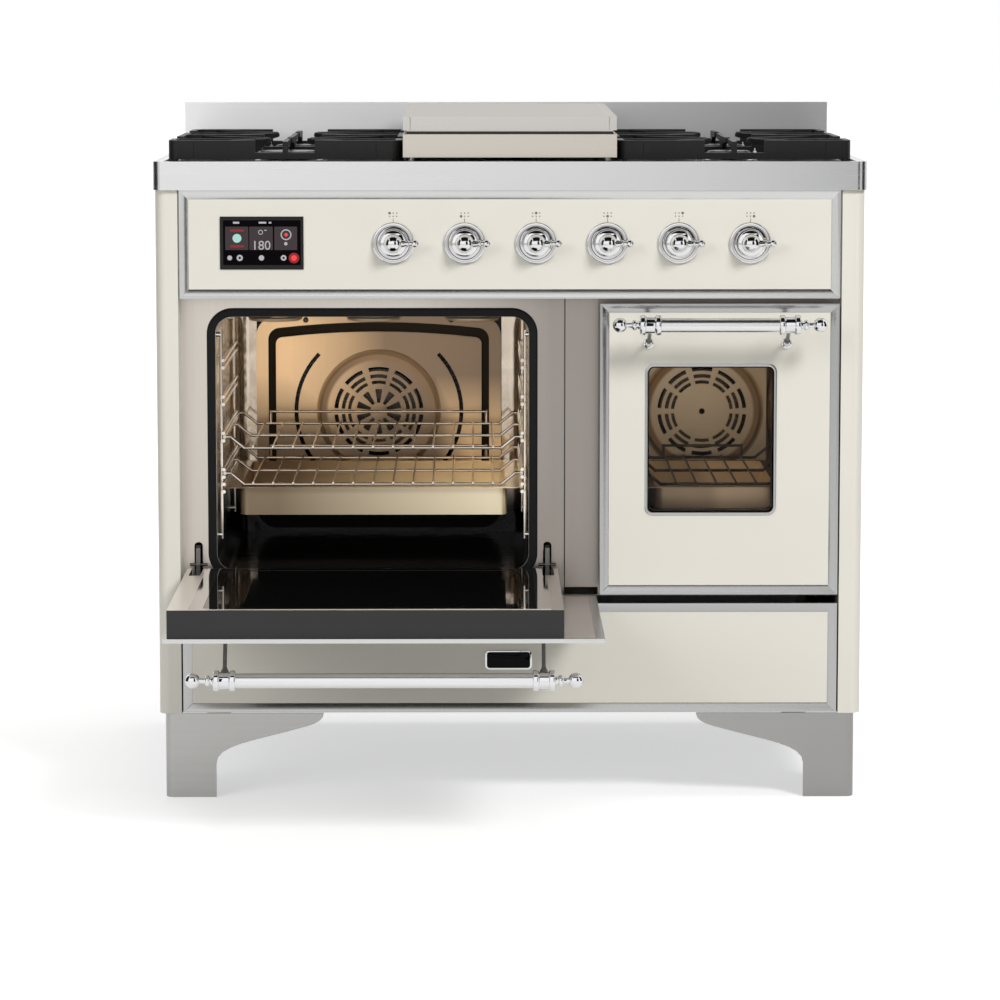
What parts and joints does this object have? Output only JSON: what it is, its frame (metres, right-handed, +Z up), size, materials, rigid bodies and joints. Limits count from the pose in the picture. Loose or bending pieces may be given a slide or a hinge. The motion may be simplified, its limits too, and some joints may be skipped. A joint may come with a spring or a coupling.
{
  "type": "dual fuel range cooker",
  "caption": "Free-standing range cooker: gas hob with lidded griddle over a wide and a narrow electric oven, drawer below, on arched front legs.",
  "frame": {"origin": "on the floor under the middle of the whole object as stored, with its left oven door open", "axes": "+X to the right, +Y to the back, +Z up, seen by someone who stands in front"},
  "size_m": [0.998, 1.033, 0.97],
  "materials": {
    "cream_enamel": "gloss enamel",
    "stainless": "brushed",
    "galvanised": "zinc coated sheet",
    "chrome": "polished",
    "satin_bar": "satin",
    "oven_enamel": "speckled enamel",
    "black_seal": "matt",
    "door_steel": "satin",
    "door_glass": "clear",
    "display_glass": "gloss",
    "cast_iron": "enamelled",
    "burner_alloy": "cast",
    "brass": "turned",
    "rack_wire": "bright wire",
    "dark_wire": "enamelled",
    "mineral_wool": "fibrous",
    "motor_steel": "satin",
    "element_steel": "sheathed tube",
    "lamp_glass": "clear"
  },
  "bodies": {
    "body": {"side_panels": "cream_enamel", "drawer_housing": "galvanised", "drawer_rails": "galvanised", "back_panel": "galvanised", "front_frame": "stainless", "legs": "stainless", "control_panel": "cream_enamel", "control_trim": "stainless", "touch_display": "display_glass", "knob_bezels": "chrome", "hob_top": "stainless", "backguard": "stainless", "burner_bodies": "burner_alloy", "burner_caps": "cast_iron", "griddle": "stainless", "gas_manifold": "brass", "left_oven": "oven_enamel", "right_oven": "oven_enamel", "insulation": "mineral_wool", "door_seals": "black_seal", "fan_baffles": "oven_enamel", "fan_motors": "motor_steel", "heating_elements": "element_steel", "oven_lamps": "lamp_glass", "rack_guides": "rack_wire", "right_racks": "dark_wire", "hinge_arms": "element_steel"},
    "left_door": {"left_door_panel": "cream_enamel", "left_door_trim": "stainless", "left_door_core": "door_steel", "left_door_glass": "door_glass", "left_door_handle": "chrome"},
    "right_door": {"right_door_panel": "cream_enamel", "right_door_trim": "stainless", "right_door_core": "door_steel", "right_door_glass": "door_glass", "right_door_handle": "chrome"},
    "drawer": {"drawer_panel": "cream_enamel", "drawer_trim": "stainless", "drawer_box": "galvanised"},
    "griddle_lid": {"griddle_lid": "stainless"},
    "left_grate": {"left_grate": "cast_iron"},
    "right_grate": {"right_grate": "cast_iron"},
    "upper_shelf": {"upper_shelf": "rack_wire"},
    "lower_shelf": {"lower_shelf": "rack_wire"},
    "baking_tray": {"baking_tray": "stainless"},
    "left_fan": {"left_fan": "element_steel"},
    "right_fan": {"right_fan": "element_steel"},
    "stem_1": {"valve_stem_1": "brass"},
    "knob_1": {"knob_1": "chrome"},
    "stem_2": {"valve_stem_2": "brass"},
    "knob_2": {"knob_2": "chrome"},
    "stem_3": {"valve_stem_3": "brass"},
    "knob_3": {"knob_3": "chrome"},
    "stem_4": {"valve_stem_4": "brass"},
    "knob_4": {"knob_4": "chrome"},
    "stem_5": {"valve_stem_5": "brass"},
    "knob_5": {"knob_5": "chrome"},
    "stem_6": {"valve_stem_6": "brass"},
    "knob_6": {"knob_6": "chrome"}
  },
  "joints": [
    {"name": "left_door_hinge", "type": "hinge", "parent": "body", "child": "left_door", "pos_m": [-0.1945, -0.1125, 0.299], "axis": [1, 0, 0], "range_deg": [-90, 0], "stiffness_Nm_per_rad": 6, "springref_deg": -118.6},
    {"name": "right_door_hinge", "type": "hinge", "parent": "body", "child": "right_door", "pos_m": [0.29475, -0.1125, 0.299], "axis": [1, 0, 0], "range_deg": [0, 90], "stiffness_Nm_per_rad": 4, "springref_deg": -28.65},
    {"name": "drawer_slide", "type": "slide", "parent": "body", "child": "drawer", "axis": [0, -1, 0], "range_m": [0, 0.3]},
    {"name": "upper_shelf_slide", "type": "slide", "parent": "body", "child": "upper_shelf", "axis": [0, -1, 0], "range_m": [0, 0.25]},
    {"name": "lower_shelf_slide", "type": "slide", "parent": "body", "child": "lower_shelf", "axis": [0, -1, 0], "range_m": [0, 0.25]},
    {"name": "baking_tray_slide", "type": "slide", "parent": "body", "child": "baking_tray", "axis": [0, -1, 0], "range_m": [0, 0.25]},
    {"name": "griddle_lid_lift", "type": "slide", "parent": "body", "child": "griddle_lid", "axis": [0, 0, 1], "range_m": [0, 0.12]},
    {"name": "left_grate_lift", "type": "slide", "parent": "body", "child": "left_grate", "axis": [0, 0, 1], "range_m": [0, 0.08]},
    {"name": "right_grate_lift", "type": "slide", "parent": "body", "child": "right_grate", "axis": [0, 0, 1], "range_m": [0, 0.08]},
    {"name": "left_fan_spin", "type": "hinge", "parent": "body", "child": "left_fan", "pos_m": [-0.1945, 0.3495, 0.508], "axis": [0, -1, 0], "continuous": true},
    {"name": "right_fan_spin", "type": "hinge", "parent": "body", "child": "right_fan", "pos_m": [0.29475, 0.3495, 0.508], "axis": [0, -1, 0], "continuous": true},
    {"name": "knob_1_push", "type": "slide", "parent": "body", "child": "stem_1", "axis": [0, 1, 0], "range_m": [0, 0.004], "stiffness_N_per_m": 800, "springref_m": -0.002},
    {"name": "knob_1_turn", "type": "hinge", "parent": "stem_1", "child": "knob_1", "pos_m": [-0.1635, -0.1355, 0.788], "axis": [0, -1, 0], "range_deg": [0, 240]},
    {"name": "knob_2_push", "type": "slide", "parent": "body", "child": "stem_2", "axis": [0, 1, 0], "range_m": [0, 0.004], "stiffness_N_per_m": 800, "springref_m": -0.002},
    {"name": "knob_2_turn", "type": "hinge", "parent": "stem_2", "child": "knob_2", "pos_m": [-0.0635, -0.1355, 0.788], "axis": [0, -1, 0], "range_deg": [0, 240]},
    {"name": "knob_3_push", "type": "slide", "parent": "body", "child": "stem_3", "axis": [0, 1, 0], "range_m": [0, 0.004], "stiffness_N_per_m": 800, "springref_m": -0.002},
    {"name": "knob_3_turn", "type": "hinge", "parent": "stem_3", "child": "knob_3", "pos_m": [0.0365, -0.1355, 0.788], "axis": [0, -1, 0], "range_deg": [0, 240]},
    {"name": "knob_4_push", "type": "slide", "parent": "body", "child": "stem_4", "axis": [0, 1, 0], "range_m": [0, 0.004], "stiffness_N_per_m": 800, "springref_m": -0.002},
    {"name": "knob_4_turn", "type": "hinge", "parent": "stem_4", "child": "knob_4", "pos_m": [0.1365, -0.1355, 0.788], "axis": [0, -1, 0], "range_deg": [0, 240]},
    {"name": "knob_5_push", "type": "slide", "parent": "body", "child": "stem_5", "axis": [0, 1, 0], "range_m": [0, 0.004], "stiffness_N_per_m": 800, "springref_m": -0.002},
    {"name": "knob_5_turn", "type": "hinge", "parent": "stem_5", "child": "knob_5", "pos_m": [0.2365, -0.1355, 0.788], "axis": [0, -1, 0], "range_deg": [0, 240]},
    {"name": "knob_6_push", "type": "slide", "parent": "body", "child": "stem_6", "axis": [0, 1, 0], "range_m": [0, 0.004], "stiffness_N_per_m": 800, "springref_m": -0.002},
    {"name": "knob_6_turn", "type": "hinge", "parent": "stem_6", "child": "knob_6", "pos_m": [0.3365, -0.1355, 0.788], "axis": [0, -1, 0], "range_deg": [0, 240]}
  ]
}
